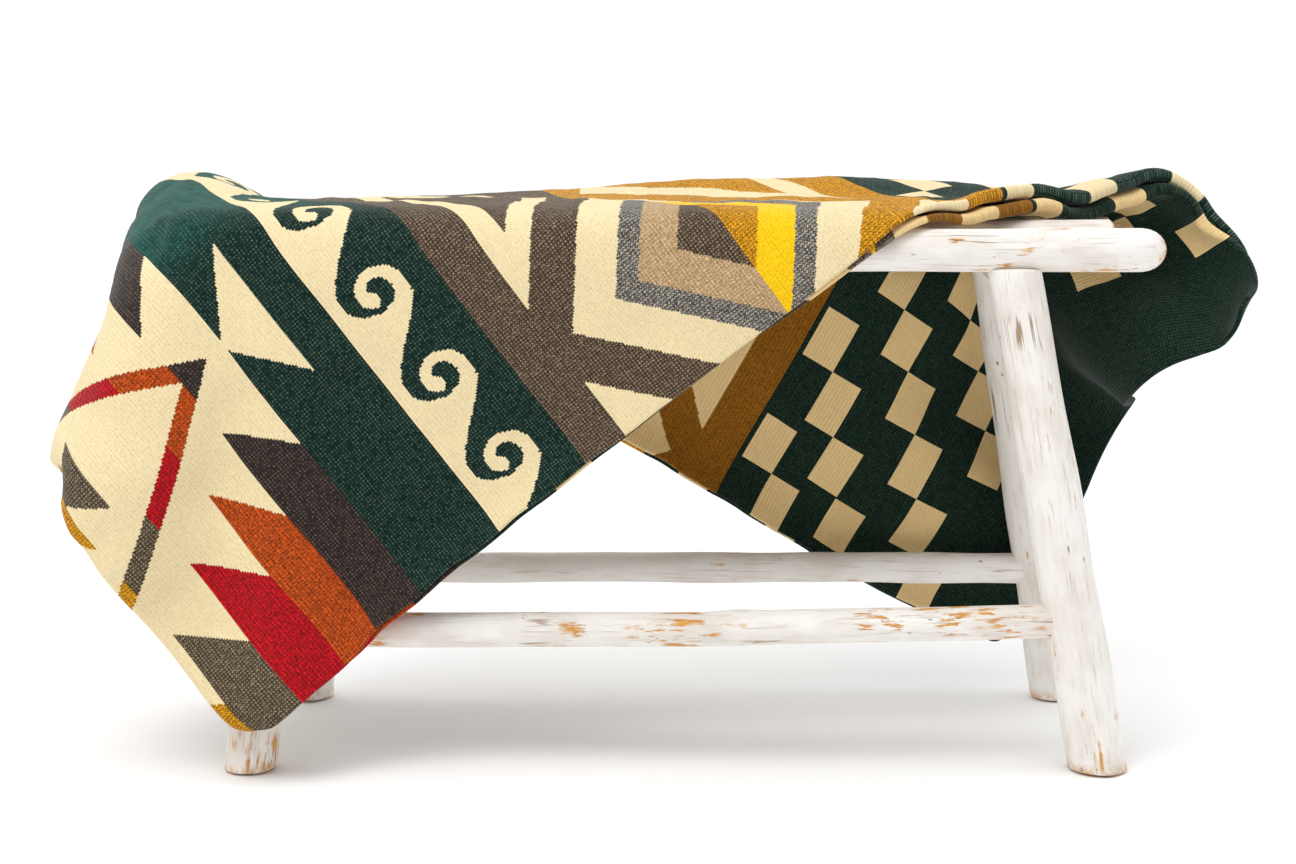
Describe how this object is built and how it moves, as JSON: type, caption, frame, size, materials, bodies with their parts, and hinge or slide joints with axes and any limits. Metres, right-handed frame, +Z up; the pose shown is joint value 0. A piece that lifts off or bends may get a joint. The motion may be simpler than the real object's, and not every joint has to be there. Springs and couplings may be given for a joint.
{
  "type": "folded patterned blanket draped over a log bench",
  "caption": "Thick patterned alpaca blanket, folded in half and draped diagonally over a small whitewashed log bench, with pointed flaps hanging in front and behind.",
  "frame": {"origin": "on the floor, under the middle of the box round the whole object", "axes": "+X along the bench to the right, +Y to its back, +Z up"},
  "size_m": [1.116, 0.3796, 0.5409],
  "materials": {
    "wool": "brushed woven alpaca, dark green with cream, brown, gold, orange and red",
    "whitewashed_wood": "worn white paint over tan wood"
  },
  "bodies": {
    "root": {"blanket": "wool", "rail_front": "whitewashed_wood", "rail_rear": "whitewashed_wood", "pole_front": "whitewashed_wood", "pole_rear": "whitewashed_wood", "bearer_left": "whitewashed_wood", "bearer_right": "whitewashed_wood", "leg_front_left": "whitewashed_wood", "leg_front_right": "whitewashed_wood", "leg_rear_left": "whitewashed_wood", "leg_rear_right": "whitewashed_wood", "stretcher_front": "whitewashed_wood", "stretcher_rear": "whitewashed_wood"}
  },
  "joints": []
}
